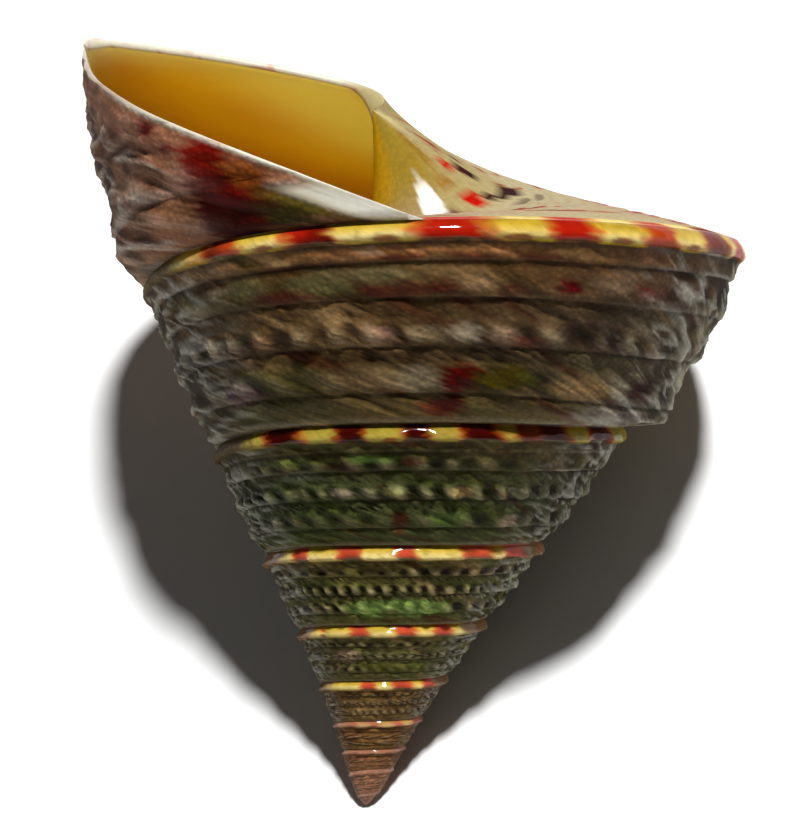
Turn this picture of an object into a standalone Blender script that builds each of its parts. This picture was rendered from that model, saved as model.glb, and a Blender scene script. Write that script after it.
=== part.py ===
"""A conical top shell lying on its side: one closed solid with a hollow last turn.

The shell is built the way it grows. A keel runs round the axis as a spiral that widens and climbs from
the apex, flat sides hang between one turn of the keel and the next, and the base closes the last turn.
Inside the mouth a tube follows the last turns back. Growth time t counts turns and is 1 at the lip.
A line of constant t is a growth line: it leaves the suture and slants back towards the keel.
An angle given in turns is 0 at the front of the standing shell and grows anticlockwise from above.
"""

import math

import bmesh
import bpy
from mathutils import Matrix, Vector

for old in list(bpy.data.objects):
    bpy.data.objects.remove(old)

MM = 0.001

# Driving dimensions, in millimetres. The standing shell has its apex at 0 and its base at the top.
KEEL_RADIUS = 15.6  # axis to keel at angle 0
KEEL_HEIGHT = 27.0  # apex to keel at angle 0
RADIUS_GROWTH = (0.3702, -0.0125, -0.0019)  # exponents of the turn, its square and its cube
HEIGHT_GROWTH = (0.4150, 0.0232, 0.0037)
APEX_RISE = 0.62  # how far the apex stands beyond the pole of the spiral
FIRST_TURN = -8.75  # where the keel starts
APEX_TURNS = 1.75  # turns over which the apex rounds off
APEX_BLUNTNESS = 0.8  # the power of that rounding: less is blunter
SUTURE_IN = 0.03  # the suture lies this much inside the keel, as a share of its radius,
SUTURE_UP = 0.042  # and this much above it
SIDE_CROWN = 0.042  # how far a side stands proud of the line from suture to suture, likewise
MOUTH_TUCK = 0.055  # how far the last turn draws in at the mouth, as a share of the keel's radius
TUCK_TURNS = (0.60, 0.78)
LIP_WALL = 0.45
INNER_WALL = 0.75  # the wall a turn inside the mouth
KEEL_WALL_IN = 1.4  # at the keel the lining keeps this many walls from it sideways,
KEEL_WALL_UP = 0.2  # and this many upwards

# The outline of a side: share of the way from suture to suture, and how far it stands proud of the
# straight line between them, as a share of the keel's radius. The last rise is the keel's cord.
SIDE_OUTLINE = (
    (0.0, 0.0),
    (0.05, 0.020),
    (0.2, 0.036),
    (0.45, 0.042),
    (0.7, 0.042),
    (0.895, 0.036),
    (0.93, 0.046),
    (0.965, 0.050),
    (0.99, 0.030),
    (1.0, 0.0),
)
KEEL_BEADS = 22  # beads in a turn on the keel's cord
CORD_START = 0.91  # share of the side where the cord starts
CORD_DIP = 0.020  # how far it sinks between its beads, as a share of the keel's radius

# The base rises from the keel and falls again towards the axis, as shares of the keel's radius.
BASE_RISE = 0.30
BASE_FALL = 0.27

# How far a growth line lags behind the suture, in turns, as a series in its share of the way.
SIDE_LAG = (-0.416, 0.262, -0.096)
BASE_LAG = (-0.123, -0.006, -0.028)
KEEL_LAG = sum(SIDE_LAG)

# The columella is the pillar on the axis. The lip ends on its foot.
FOOT = Vector((-3.4, 1.0, 36.7))
PILLAR_START = 0.68  # share of the way in where the base turns up into the pillar
PILLAR_ENTRY = 0.15  # how far in the curve into the pillar still follows the base,
LINING_ENTRY = 0.1  # and how far the lining's curve does
PILLAR_RADIUS = 1.7
WAIST_SWAY = 0.3  # how far the pillar's waist leans towards its foot
SUTURE_INSET = 0.05  # share of the way in where the wall starts inside the suture
FOOT_INSET = 0.95  # share of the way in where the wall ends on the pillar
CORNER_SHARE = 0.95  # share of the side where its lining turns under the base

# How the shell lies: rolled about its axis, then with its side on the ground.
ROLL = math.radians(14.3)
LEAN = math.radians(29.37)
POSE = Matrix.Rotation(LEAN - math.pi / 2.0, 3, "X") @ Matrix.Rotation(ROLL, 3, "Z")

# Resolution.
STEPS = 2 * KEEL_BEADS  # growth steps in a turn, one on each bead and one between: a multiple of 4
BASE_SHARES = (0.0, SUTURE_INSET, 0.14, 0.28, 0.44, 0.58, PILLAR_START, 0.78, 0.87, FOOT_INSET)
TUBE_TURNS = 1.5
TUBE_STEPS = 48
SHARP_EDGE = math.radians(50.0)
SLOPE_STEP = 0.01  # turns and shares over which a surface's slope is measured
WELD = 1e-6  # metres
TINY = 1e-9


def clamp(value):
    return min(1.0, max(0.0, value))


def smooth(value, low, high):
    share = clamp((value - low) / (high - low))
    return share * share * (3.0 - 2.0 * share)


def series(factors, x):
    return sum(factor * x ** (power + 1) for power, factor in enumerate(factors))


def keel(turn):
    """(radius, height) of the keel at an angle given in turns."""
    if turn <= FIRST_TURN:
        return 0.0, 0.0
    rounding = clamp((turn - FIRST_TURN) / APEX_TURNS) ** APEX_BLUNTNESS
    radius = KEEL_RADIUS * math.exp(series(RADIUS_GROWTH, turn)) * rounding
    height = (KEEL_HEIGHT * math.exp(series(HEIGHT_GROWTH, turn)) + APEX_RISE) * rounding
    return radius * (1.0 - MOUTH_TUCK * smooth(turn, *TUCK_TURNS)), height


def at(turn, radius, height):
    angle = 2.0 * math.pi * turn
    return Vector((radius * math.sin(angle), -radius * math.cos(angle), height))


def suture(turn):
    """(radius, height) of the line above the keel where a side ends and the next one starts."""
    radius, height = keel(turn)
    return radius * (1.0 - SUTURE_IN), height + radius * SUTURE_UP


def side_surface(t, share, proud=SIDE_CROWN):
    """A point of the side, from the suture at share 0 to the next suture at share 1."""
    turn = t + series(SIDE_LAG, share)
    inner_radius, inner_height = suture(turn - 1.0)
    outer_radius, outer_height = suture(turn)
    wide = outer_radius - inner_radius
    high = outer_height - inner_height
    out = proud * outer_radius / max(math.hypot(wide, high), TINY)
    radius = inner_radius + wide * share + high * out
    height = inner_height + high * share - wide * out
    return at(turn, radius, height)


def side_row(t):
    """The points across a side along one growth line."""
    dip = CORD_DIP * (0.5 - 0.5 * math.cos(2.0 * math.pi * KEEL_BEADS * t))
    return [
        side_surface(t, share, proud - dip * (CORD_START < share < 1.0))
        for share, proud in SIDE_OUTLINE
    ]


def base_surface(t, share):
    """A point of the base, from the suture line at share 0 in towards the axis at share 1."""
    turn = t + KEEL_LAG + series(BASE_LAG, share)
    radius, height = suture(turn)
    rise = BASE_RISE * share - BASE_FALL * share * share
    return at(turn, radius * (1.0 - share), height + radius * rise)


def foot(t):
    """The foot of the columella at growth time t: it winds up the axis and stops at the lip."""
    t = min(t, 1.0)
    radius, height = keel(t + KEEL_LAG)
    last_radius, last_height = keel(1.0 + KEEL_LAG)
    turned = Matrix.Rotation(2.0 * math.pi * (t - 1.0), 3, "Z") @ FOOT
    grow = radius / last_radius
    return Vector((turned.x * grow, turned.y * grow, turned.z * height / last_height))


def base_point(t, share):
    """A point of the base and, past PILLAR_START, of the pillar that it turns up into."""
    if share <= PILLAR_START:
        return base_surface(t, share)
    start = base_surface(t, PILLAR_START)
    onward = base_surface(t, PILLAR_START + PILLAR_ENTRY)
    end = foot(t + 1.0)
    outwards = Vector((onward.x, onward.y, 0.0)).normalized()
    grow = keel(t + KEEL_LAG)[0] / KEEL_RADIUS
    waist = outwards * PILLAR_RADIUS * grow + end * WAIST_SWAY
    waist.z = (onward.z + end.z) / 2.0
    s = (share - PILLAR_START) / (1.0 - PILLAR_START)
    weights = ((1 - s) ** 3, 3 * s * (1 - s) ** 2, 3 * s * s * (1 - s), s**3)
    points = (start, onward, waist, end)
    return sum((point * weight for point, weight in zip(points, weights)), Vector())


def border_time(share):
    """Growth time at which a column of the base passes inside the mouth."""
    return -KEEL_LAG * (1.0 - share)


def wall(t):
    return LIP_WALL + (INNER_WALL - LIP_WALL) * smooth(1.0 - t, 0.0, 1.0)


def under(surface, t, share):
    """The point of the lining under a point of an outer surface, one wall deep."""
    along = surface(t + SLOPE_STEP, share) - surface(t - SLOPE_STEP, share)
    across = surface(t, share + SLOPE_STEP) - surface(t, share - SLOPE_STEP)
    return surface(t, share) - along.cross(across).normalized() * wall(t)


def pillar_point(t, share):
    """A point of the mouth's inner wall, which is the base and pillar of the turn before."""
    return base_point(t - 1.0 + border_time(share), share)


def lining_side_point(t, share):
    if share == 0.0:
        return pillar_point(t, SUTURE_INSET)
    if share < 1.0:
        return under(side_surface, t, share * CORNER_SHARE)
    radius, height = keel(t + KEEL_LAG)
    return at(t + KEEL_LAG, radius - KEEL_WALL_IN * wall(t), height + KEEL_WALL_UP * wall(t))


def lining_base_point(t, share):
    if share <= PILLAR_START:
        return under(base_surface, t, share)
    start = under(base_surface, t, PILLAR_START)
    onward = under(base_surface, t, PILLAR_START + LINING_ENTRY)
    end = pillar_point(t, FOOT_INSET)
    s = (share - PILLAR_START) / (1.0 - PILLAR_START)
    return start * (1.0 - s) ** 2 + onward * 2.0 * s * (1.0 - s) + end * s * s


def add_sheet(mesh, rows):
    """Faces between one row of points and the next."""
    grid = [[mesh.verts.new(POSE @ point * MM) for point in row] for row in rows]
    for row, next_row in zip(grid, grid[1:]):
        for column in range(len(row) - 1):
            mesh.faces.new((row[column], next_row[column], next_row[column + 1], row[column + 1]))


def side_rows():
    first = FIRST_TURN - KEEL_LAG
    count = round((1.0 - first) * STEPS)
    yield [Vector()] * len(SIDE_OUTLINE)
    for step in range(count + 1):
        t = 1.0 - (count - step) / STEPS
        yield side_row(t)


def base_rows():
    count = round((1.0 + KEEL_LAG) * STEPS)
    for step in range(count + 1):
        done = step / count
        yield [
            base_point(border_time(share) * (1.0 - done) + done, share)
            for share in BASE_SHARES + (1.0,)
        ]


def lining_row(t):
    side = [lining_side_point(t, share) for share, _ in SIDE_OUTLINE]
    base = [lining_base_point(t, share) for share in BASE_SHARES[1:] + (1.0,)]
    return side + base


def tube_rows():
    for step in range(TUBE_STEPS + 1):
        t = 1.0 - TUBE_TURNS * step / TUBE_STEPS
        inner = [pillar_point(t, share) for share in reversed(BASE_SHARES[1:-1])]
        yield lining_row(t) + inner


def add_tube(mesh):
    rows = list(tube_rows())
    add_sheet(mesh, rows)
    end = rows[-1]
    middle = sum(end, Vector()) / len(end)
    add_sheet(mesh, (end, [middle] * len(end)))


def add_lip(mesh):
    outer = side_row(1.0)
    outer += [base_point(1.0, share) for share in BASE_SHARES[1:] + (1.0,)]
    add_sheet(mesh, (outer, lining_row(1.0)))


def shell_material():
    material = bpy.data.materials.new("mottled_shell")
    material.use_nodes = True
    surface = material.node_tree.nodes["Principled BSDF"]
    surface.inputs["Base Color"].default_value = (0.24, 0.16, 0.11, 1.0)
    surface.inputs["Roughness"].default_value = 0.4
    surface.inputs["Metallic"].default_value = 0.0
    return material


def set_down(mesh):
    """Moves the shell so that it lies on the ground with the origin under the middle of its box."""
    low = Vector(min(vert.co[axis] for vert in mesh.verts) for axis in range(3))
    high = Vector(max(vert.co[axis] for vert in mesh.verts) for axis in range(3))
    under_middle = Vector(((low.x + high.x) / 2.0, (low.y + high.y) / 2.0, low.z))
    bmesh.ops.translate(mesh, verts=mesh.verts, vec=-under_middle)


def make_shell():
    mesh = bmesh.new()
    add_sheet(mesh, list(side_rows()))
    add_sheet(mesh, list(base_rows()))
    add_lip(mesh)
    add_tube(mesh)
    bmesh.ops.remove_doubles(mesh, verts=mesh.verts, dist=WELD)
    bmesh.ops.triangulate(mesh, faces=mesh.faces, quad_method="SHORT_EDGE")
    set_down(mesh)
    data = bpy.data.meshes.new("top_shell")
    mesh.to_mesh(data)
    mesh.free()
    data.shade_smooth()
    data.set_sharp_from_angle(angle=SHARP_EDGE)
    data.materials.append(shell_material())
    shell = bpy.data.objects.new("top_shell", data)
    bpy.context.collection.objects.link(shell)
    return shell


make_shell()
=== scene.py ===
"""The looks of a conical top shell that lies on its side.

The shell is made as it grew. Time counts turns of growth and is 1 at the lip. A row of the surface is one
growth line: it leaves the suture, slants back over the side to the keel and runs in over the base to the
pillar on the axis. A place on the side or the base also has a turn, its angle round the axis, which is 0
at the front of the last turn. Shares run from 0 to 1 across the side and again from 0 to 1 across the base.
"""

import math

import bpy
import numpy as np
from mathutils import Matrix, Vector


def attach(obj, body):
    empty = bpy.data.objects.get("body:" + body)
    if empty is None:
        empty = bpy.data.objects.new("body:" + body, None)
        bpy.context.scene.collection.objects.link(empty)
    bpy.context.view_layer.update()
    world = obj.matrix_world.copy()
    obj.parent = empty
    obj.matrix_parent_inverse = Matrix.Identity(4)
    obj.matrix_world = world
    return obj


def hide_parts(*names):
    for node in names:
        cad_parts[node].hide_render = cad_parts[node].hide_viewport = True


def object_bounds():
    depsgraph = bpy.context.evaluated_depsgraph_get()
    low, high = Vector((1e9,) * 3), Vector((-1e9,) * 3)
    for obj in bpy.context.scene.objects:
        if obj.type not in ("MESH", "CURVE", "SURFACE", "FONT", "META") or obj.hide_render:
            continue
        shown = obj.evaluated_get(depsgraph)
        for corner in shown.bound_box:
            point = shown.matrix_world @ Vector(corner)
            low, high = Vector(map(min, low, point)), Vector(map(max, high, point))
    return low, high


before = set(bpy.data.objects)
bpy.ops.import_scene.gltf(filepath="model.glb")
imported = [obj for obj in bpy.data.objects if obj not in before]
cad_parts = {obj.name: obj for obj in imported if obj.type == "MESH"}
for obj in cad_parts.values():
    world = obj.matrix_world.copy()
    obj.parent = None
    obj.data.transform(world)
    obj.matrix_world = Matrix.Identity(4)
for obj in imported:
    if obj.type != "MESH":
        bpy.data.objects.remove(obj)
cad_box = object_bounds()
top_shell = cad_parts["top_shell"]

MM = 0.001
CLOSE = 5e-7  # metres: points this close are the same

# The spiral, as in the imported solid. Heights run down from the apex, as if the shell hung from it.
KEEL_RADIUS = 15.6  # mm, at the front of the last turn, as is the height
KEEL_HEIGHT = 27.0
RADIUS_GROWTH = (0.3702, -0.0125, -0.0019)  # logarithm of the growth, as a series in turns
HEIGHT_GROWTH = (0.415, 0.0232, 0.0037)
APEX_RISE = 0.62  # mm
FIRST_TURN = -8.75
APEX_TURNS = 1.75  # the apex is rounded off over these
APEX_BLUNTNESS = 0.8
APEX_ROUNDNESS = 0.62
SUTURE_IN = 0.03  # shares of the keel's radius, down to the tuck at the mouth
SUTURE_UP = 0.042
SIDE_CROWN = 0.042
RIGHT_SWELL = 0.05
LIP_SWELL = 0.026
MOUTH_TUCK = 0.055
TUCK_TURNS = (0.6, 0.78)
LIP_WALL = 0.45  # mm, as are the next three
INNER_WALL = 0.75
KEEL_WALL_IN = 1.4
KEEL_WALL_UP = 0.2
BASE_RISE = 0.3
BASE_FALL = 0.27
SIDE_LAG = (-0.416, 0.262, -0.096)  # turns that a growth line slants back, as a series in the share
BASE_LAG = (-0.123, -0.006, -0.028)
KEEL_LAG = sum(SIDE_LAG)
FOOT = (-3.4, 1.0, 36.7)  # mm, where the pillar ends at the lip
PILLAR_START = 0.68  # shares of the base
PILLAR_ENTRY = 0.15
LINING_ENTRY = 0.1
PILLAR_RADIUS = 1.7  # mm
WAIST_SWAY = 0.3
SUTURE_INSET = 0.05  # the lining starts and ends this far from the outer wall's corners
FOOT_INSET = 0.95
CORNER_SHARE = 0.95
KEEL_BEADS = 22.0  # in a turn of the keel's cord
ROLL = math.radians(14.3)
LEAN = math.radians(29.37)
POSE = Matrix.Rotation(LEAN - math.pi / 2.0, 3, "X") @ Matrix.Rotation(ROLL, 3, "Z")
APEX = min((vertex.co for vertex in top_shell.data.vertices), key=lambda place: place.y).copy()
SLOPE_STEP = 0.01  # turns or shares between the two points that give a slope
TINY = 1e-9
CIRCLE = 2.0 * math.pi
ROUNDING = 1e-6  # more than the rounding errors in a time

# Rows in a turn, from the time given on. Each is a multiple of 4, so that a turn's top row of points meets
# the next turn's bottom row.
ROW_ZONES = ((-0.5, 512), (-2.0, 256), (-4.0, 96), (FIRST_TURN - KEEL_LAG, 48))
LATTICE = 256  # steps after which the random waves repeat
BASE_ROWS = 256  # in a turn
LIP_STEPS = 6
TUBE_TURNS = 1.5  # the hollow behind the mouth
TUBE_ROWS = 40


def series(factors, x):
    return sum(factor * x ** (power + 1) for power, factor in enumerate(factors))


def smooth(value, low, high):
    share = np.clip((value - low) / (high - low), 0.0, 1.0)
    return share * share * (3.0 - 2.0 * share)


def fade(value, low, high):
    """1 up to low, falling smoothly to 0 at high."""
    return 1.0 - smooth(value, low, high)


def bell(value, middle, width):
    return np.exp(-(((value - middle) / width) ** 2))


def hump(value, low, high, soft):
    """1 between low and high, falling softly to 0 outside them."""
    return smooth(value, low - soft, low + soft) * fade(value, high - soft, high + soft)


def unit(arrows):
    return arrows / np.maximum(np.linalg.norm(arrows, axis=-1, keepdims=True), TINY)


def ripple(x, y, seed):
    """Smooth random waves from -1 to 1, one lattice step long each way."""
    lattice = np.random.default_rng(seed).uniform(-1.0, 1.0, (LATTICE, LATTICE))
    x, y = np.broadcast_arrays(x, y)
    left = np.floor(x).astype(int)
    low = np.floor(y).astype(int)
    across = smooth(x - left, 0.0, 1.0)
    up = smooth(y - low, 0.0, 1.0)

    def corner(i, j):
        return lattice[(left + i) % LATTICE, (low + j) % LATTICE]

    bottom = corner(0, 0) * (1.0 - across) + corner(1, 0) * across
    top = corner(0, 1) * (1.0 - across) + corner(1, 1) * across
    return bottom * (1.0 - up) + top * up


# The spiral surfaces


def keel(turn):
    rounding = np.clip((turn - FIRST_TURN) / APEX_TURNS, 0.0, 1.0) ** APEX_BLUNTNESS
    radius = KEEL_RADIUS * np.exp(series(RADIUS_GROWTH, turn)) * rounding**APEX_ROUNDNESS
    height = (KEEL_HEIGHT * np.exp(series(HEIGHT_GROWTH, turn)) + APEX_RISE) * rounding
    return radius * (1.0 - MOUTH_TUCK * smooth(turn, *TUCK_TURNS)), height


def at(turn, radius, height):
    angle = CIRCLE * turn
    return np.stack((radius * np.sin(angle), -radius * np.cos(angle), height), axis=-1)


def suture(turn):
    radius, height = keel(turn)
    return radius * (1.0 - SUTURE_IN), height + radius * SUTURE_UP


def swell(turn, share):
    """How much fuller the last turn is than the solid's, to the right of its front and up to its lip."""
    full = RIGHT_SWELL * hump(turn, 0.1, 0.345, 0.08) + LIP_SWELL * hump(turn, 0.71, 0.88, 0.05)
    full = full * (1.0 + 0.6 * hump(share, 0.05, 0.2, 0.06))
    return full * smooth(share, -0.04, 0.14) * smooth(share, 0.0, 0.02) * fade(share, 0.62, 0.93)


def side_surface(time, share, proud=SIDE_CROWN):
    turn = time + series(SIDE_LAG, share)
    proud = proud + swell(turn, share)
    inner_radius, inner_height = suture(turn - 1.0)
    outer_radius, outer_height = suture(turn)
    wide = outer_radius - inner_radius
    high = outer_height - inner_height
    out = proud * outer_radius / np.maximum(np.hypot(wide, high), TINY)
    radius = inner_radius + wide * share + high * out
    height = inner_height + high * share - wide * out
    return at(turn, radius, height)


def base_surface(time, share):
    turn = time + KEEL_LAG + series(BASE_LAG, share)
    radius, height = suture(turn)
    rise = BASE_RISE * share - BASE_FALL * share * share
    return at(turn, radius * (1.0 - share), height + radius * rise)


def foot(time):
    time = np.minimum(time, 1.0)
    radius, height = keel(time + KEEL_LAG)
    last_radius, last_height = keel(1.0 + KEEL_LAG)
    angle = CIRCLE * (time - 1.0)
    grow = radius / last_radius
    x = (FOOT[0] * np.cos(angle) - FOOT[1] * np.sin(angle)) * grow
    y = (FOOT[0] * np.sin(angle) + FOOT[1] * np.cos(angle)) * grow
    return np.stack((x, y, FOOT[2] * height / last_height), axis=-1)


def base_point(time, share):
    """A point of the base and, past PILLAR_START, of the pillar that it turns up into."""
    time, share = np.broadcast_arrays(time, share)
    start = base_surface(time, PILLAR_START)
    onward = base_surface(time, PILLAR_START + PILLAR_ENTRY)
    end = foot(time + 1.0)
    outwards = unit(onward * (1.0, 1.0, 0.0))
    grow = keel(time + KEEL_LAG)[0] / KEEL_RADIUS
    waist = outwards * (PILLAR_RADIUS * grow)[..., None] + end * WAIST_SWAY
    waist[..., 2] = (onward[..., 2] + end[..., 2]) / 2.0
    s = np.clip((share - PILLAR_START) / (1.0 - PILLAR_START), 0.0, 1.0)[..., None]
    turned_up = (
        start * (1.0 - s) ** 3
        + onward * 3.0 * s * (1.0 - s) ** 2
        + waist * 3.0 * s * s * (1.0 - s)
        + end * s**3
    )
    return np.where(s > 0.0, turned_up, base_surface(time, share))


def border_time(share):
    """Growth time at which a column of the base passes inside the mouth."""
    return -KEEL_LAG * (1.0 - share)


def normal(surface, time, share):
    along = surface(time + SLOPE_STEP, share) - surface(time - SLOPE_STEP, share)
    across = surface(time, share + SLOPE_STEP) - surface(time, share - SLOPE_STEP)
    return unit(np.cross(along, across))


def under(surface, time, share):
    wall = LIP_WALL + (INNER_WALL - LIP_WALL) * smooth(1.0 - time, 0.0, 1.0)
    return surface(time, share) - normal(surface, time, share) * np.asarray(wall)[..., None]


def pillar_point(time, share):
    """A point of the mouth's inner wall, which is the base and pillar of the turn before."""
    return base_point(time - 1.0 + border_time(share), share)


# Sculpture. Heights are shares of the keel's radius, so that it grows with the shell.

# Outline of a side across its bands: share of the way and how far it stands proud of a straight side.
# Each band steps out and falls back towards the next, like a row of shingles.
BAND_OUTLINE = (
    (0.0, 0.0), (0.022, 0.016), (0.06, 0.022), (0.11, 0.0293), (0.155, 0.0306), (0.17, 0.0237),
    (0.186, 0.0361), (0.22, 0.0399), (0.27, 0.0386), (0.325, 0.0343), (0.345, 0.0293), (0.37, 0.0318),
    (0.393, 0.0299), (0.404, 0.0244), (0.42, 0.0368), (0.455, 0.0405), (0.5, 0.0392), (0.545, 0.0337),
    (0.562, 0.0293), (0.595, 0.0318), (0.628, 0.0299), (0.64, 0.0237), (0.656, 0.0368), (0.7, 0.0405),
    (0.76, 0.0386), (0.815, 0.0337), (0.829, 0.0256), (0.844, 0.0349), (0.875, 0.0374), (0.908, 0.0337),
    (0.92, 0.028), (0.932, 0.036), (0.942, 0.0412), (0.952, 0.0445), (0.962, 0.044), (0.972, 0.041),
    (0.988, 0.028), (1.0, 0.0),
)
LOWEST_GROOVE = 0.021  # the last turn's grooves are no deeper, so that the thin wall stays whole

# Rows of beads: the middle of the band, its half width, beads in a turn, how high they stand.
BEAD_ROWS = (
    (0.245, 0.048, 27.0, 0.013),
    (0.355, 0.014, 96.0, 0.006),
    (0.385, 0.012, 90.0, 0.006),
    (0.472, 0.044, 40.0, 0.018),
    (0.58, 0.013, 92.0, 0.006),
    (0.612, 0.013, 98.0, 0.006),
    (0.725, 0.052, 31.0, 0.0105),
    (0.875, 0.026, 52.0, 0.0035),
)
# Where the keel's cord starts, as a share of the side, by turn. In the outline it starts at CORD_START, and
# what lies between that and SQUEEZED_FROM gives way.
CORD_STARTS = ((-5.0, 0.76), (-4.0, 0.76), (-3.0, 0.79), (-2.0, 0.83), (-1.0, 0.865), (-0.35, 0.9))
CORD_START = 0.92
SQUEEZED_FROM = 0.64
WAVER = 0.007  # how far the grooves waver, as a share of the side
BEAD_LEAN = 0.85  # 0 leans the beads along the growth lines, 1 sets them straight across
LIP_RELIEF = 0.033  # the side's relief ends at this height along the lip
CORD_STANDS = ((-4.5, 0.05), (-3.0, 0.044), (-2.0, 0.032), (-1.0, 0.016), (-0.35, 0.0))  # by turn
CORD_MIDDLE = 0.955
CORD_HALF_WIDTH = 0.024
CORD_SWELL = 0.0045  # the yellow beads of the keel's cord stand this much prouder than its level
CORD_SINK = 0.0085  # and its red stretches lie this much lower than the beads


def band_place(turn, share):
    """Where a share of the side lies in the outline. The older a turn, the more of its side is cord."""
    turns, starts = np.array(CORD_STARTS).T
    start = np.interp(turn, turns, starts)
    low = (share - SQUEEZED_FROM) / (start - SQUEEZED_FROM)
    high = (share - start) / (1.0 - start)
    squeezed = SQUEEZED_FROM + low * (CORD_START - SQUEEZED_FROM)
    cord = CORD_START + high * (1.0 - CORD_START)
    band = np.where(share < SQUEEZED_FROM, share, np.where(share < start, squeezed, cord))
    waver = WAVER * ripple(turn * 30.0, share * 3.0, 21) + 0.4 * WAVER * ripple(turn * 110.0, share * 9.0, 22)
    return band + waver * smooth(band, 0.02, 0.12) * fade(band, 0.88, 0.94)


def bead_phase(time, count):
    """Beads passed by this time. A young shell has more of them in a turn than an old one."""
    return count * (time - 0.05 * time * time)


def beads(time, share, band):
    """How far the beads rise above the bands, and below 0 how far the gaps between them sink."""
    height = 0.0
    youth = 1.0 + 1.2 * smooth(-time, 0.0, 1.0)
    place = time + BEAD_LEAN * series(SIDE_LAG, share)
    for row, (middle, half_width, count, rise) in enumerate(BEAD_ROWS):
        drift = ripple(place * count * 0.6, row * 7.0 + share * 6.0, 11 + row)
        phase = bead_phase(place, count) + 0.3 * drift
        bead = (0.5 + 0.5 * np.cos(CIRCLE * phase)) ** 1.3 - 0.45
        size = 1.0 + 0.6 * ripple(place * count * 0.37, row * 3.0, 31 + row)
        row_profile = bell(band, middle, half_width)
        height = height + bead * size * row_profile * rise * youth
    return height


def crests(time, share):
    """1 on the thin crests of the growth lines, 0 between them."""
    bend = 1.3 * ripple(time * 40.0, share * 9.0, 54)
    broken = 0.5 + 0.5 * ripple(time * 60.0, share * 16.0, 55)
    return (1.0 - np.abs(ripple(time * 84.0 + bend, share * 5.0, 53))) ** 3 * smooth(broken, 0.1, 0.8)


def cells(time, share):
    """1 on a net of thin ridges, 0 in the cells between them."""
    bend = 0.8 * ripple(time * 33.0, share * 7.0, 57)
    return (1.0 - np.abs(ripple(time * 46.0 + bend, share * 15.0, 56))) ** 3


def flank(turn):
    """1 on the sides of a turn, where the shell is roughest, 0 at its front and low at its back."""
    side = np.abs(turn - np.rint(turn))
    return smooth(side, 0.095, 0.18) * (1.0 - 0.6 * smooth(side, 0.22, 0.34))


def wrinkles(time, share):
    """Growth lines: fine ridges along the rows, coarser towards the lip."""
    fine = ripple(time * 150.0, share * 7.0, 51)
    coarse = ripple(time * 62.0, share * 5.0 + 9.0, 52)
    lip = smooth(time, 0.6, 0.95)
    ridges = 0.0018 * fine + (0.0048 + 0.0036 * lip) * coarse + 0.005 * (crests(time, share) - 0.2)
    ridges = ridges + 0.011 * (cells(time, share) - 0.35) * flank(side_turn(time, share))
    return ridges * smooth(share, 0.0, 0.05) * (1.0 - smooth(share, 0.9, 0.95) * 0.6)


def side_relief(time, share):
    """Bands, beads and growth lines. They are lower near the apex and even out at the lip."""
    shares, heights = np.array(BAND_OUTLINE).T
    turn = side_turn(time, share)
    band = band_place(turn, share)
    outline = np.interp(band, shares, heights)
    grown = smooth(share, 0.0, 0.03) * smooth(1.0 - share, 0.0, 0.02)
    young = smooth(-time, 4.5, 6.5)
    outline = outline * (1.0 - 0.5 * young) + 0.5 * young * SIDE_CROWN * np.sin(math.pi * share) ** 0.5
    relief = outline + (beads(time, share, band) + wrinkles(time, share)) * grown * (1.0 - 0.5 * young)
    red = keel_red(turn)
    stands, rises = np.array(CORD_STANDS).T
    cord = CORD_SWELL - CORD_SINK * red + np.interp(turn, stands, rises) * (1.0 - 0.55 * red)
    relief = relief + cord * bell(band, CORD_MIDDLE, CORD_HALF_WIDTH) * grown
    least = LOWEST_GROOVE * smooth(share, 0.0, 0.02) * smooth(1.0 - share, 0.0, 0.03) * smooth(time, 0.1, 0.4)
    edge = LIP_RELIEF * np.sin(math.pi * np.clip(share, 0.0, 1.0)) ** 0.4
    at_lip = smooth(time, 0.955, 0.995) * (0.6 + 0.4 * smooth(share, 0.85, 0.92))
    return np.maximum(relief + (edge - relief) * at_lip, least)


def side_point(time, share):
    return side_surface(time, share, side_relief(time, share))


# The base has fine spiral threads that die out on the pillar.
THREADS = 13.0
THREAD_HEIGHT = 0.0042


def base_relief(time, share):
    threads = np.cos(CIRCLE * share * THREADS / PILLAR_START) - 1.0
    uneven = 1.0 + 0.4 * ripple(time * 26.0, share * 30.0, 61)
    lines = 0.0007 * ripple(time * 120.0, share * 6.0, 62)
    field = smooth(share, 0.05, 0.12) * fade(share, 0.55, 0.68)
    since_mouth = smooth(time - border_time(share), 0.0, 0.05) * smooth(1.0 - time, 0.0, 0.01)
    return (threads * THREAD_HEIGHT / 2.0 * uneven + lines) * field * since_mouth


def base_carved(time, share):
    time, share = np.broadcast_arrays(time, share)
    inner = np.minimum(share, PILLAR_START)
    rise = base_relief(time, share) * KEEL_RADIUS
    return base_point(time, share) + normal(base_surface, time, inner) * rise[..., None]


def lining_side(time, share):
    radius, height = keel(time + KEEL_LAG)
    wall = LIP_WALL + (INNER_WALL - LIP_WALL) * smooth(1.0 - time, 0.0, 1.0)
    corner = at(time + KEEL_LAG, radius - KEEL_WALL_IN * wall, height + KEEL_WALL_UP * wall)
    inside = under(side_surface, time, share * CORNER_SHARE)
    start = pillar_point(time, SUTURE_INSET)
    share = np.asarray(share)[..., None]
    return np.where(share <= 0.0, start, np.where(share >= 1.0, corner, inside))


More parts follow.
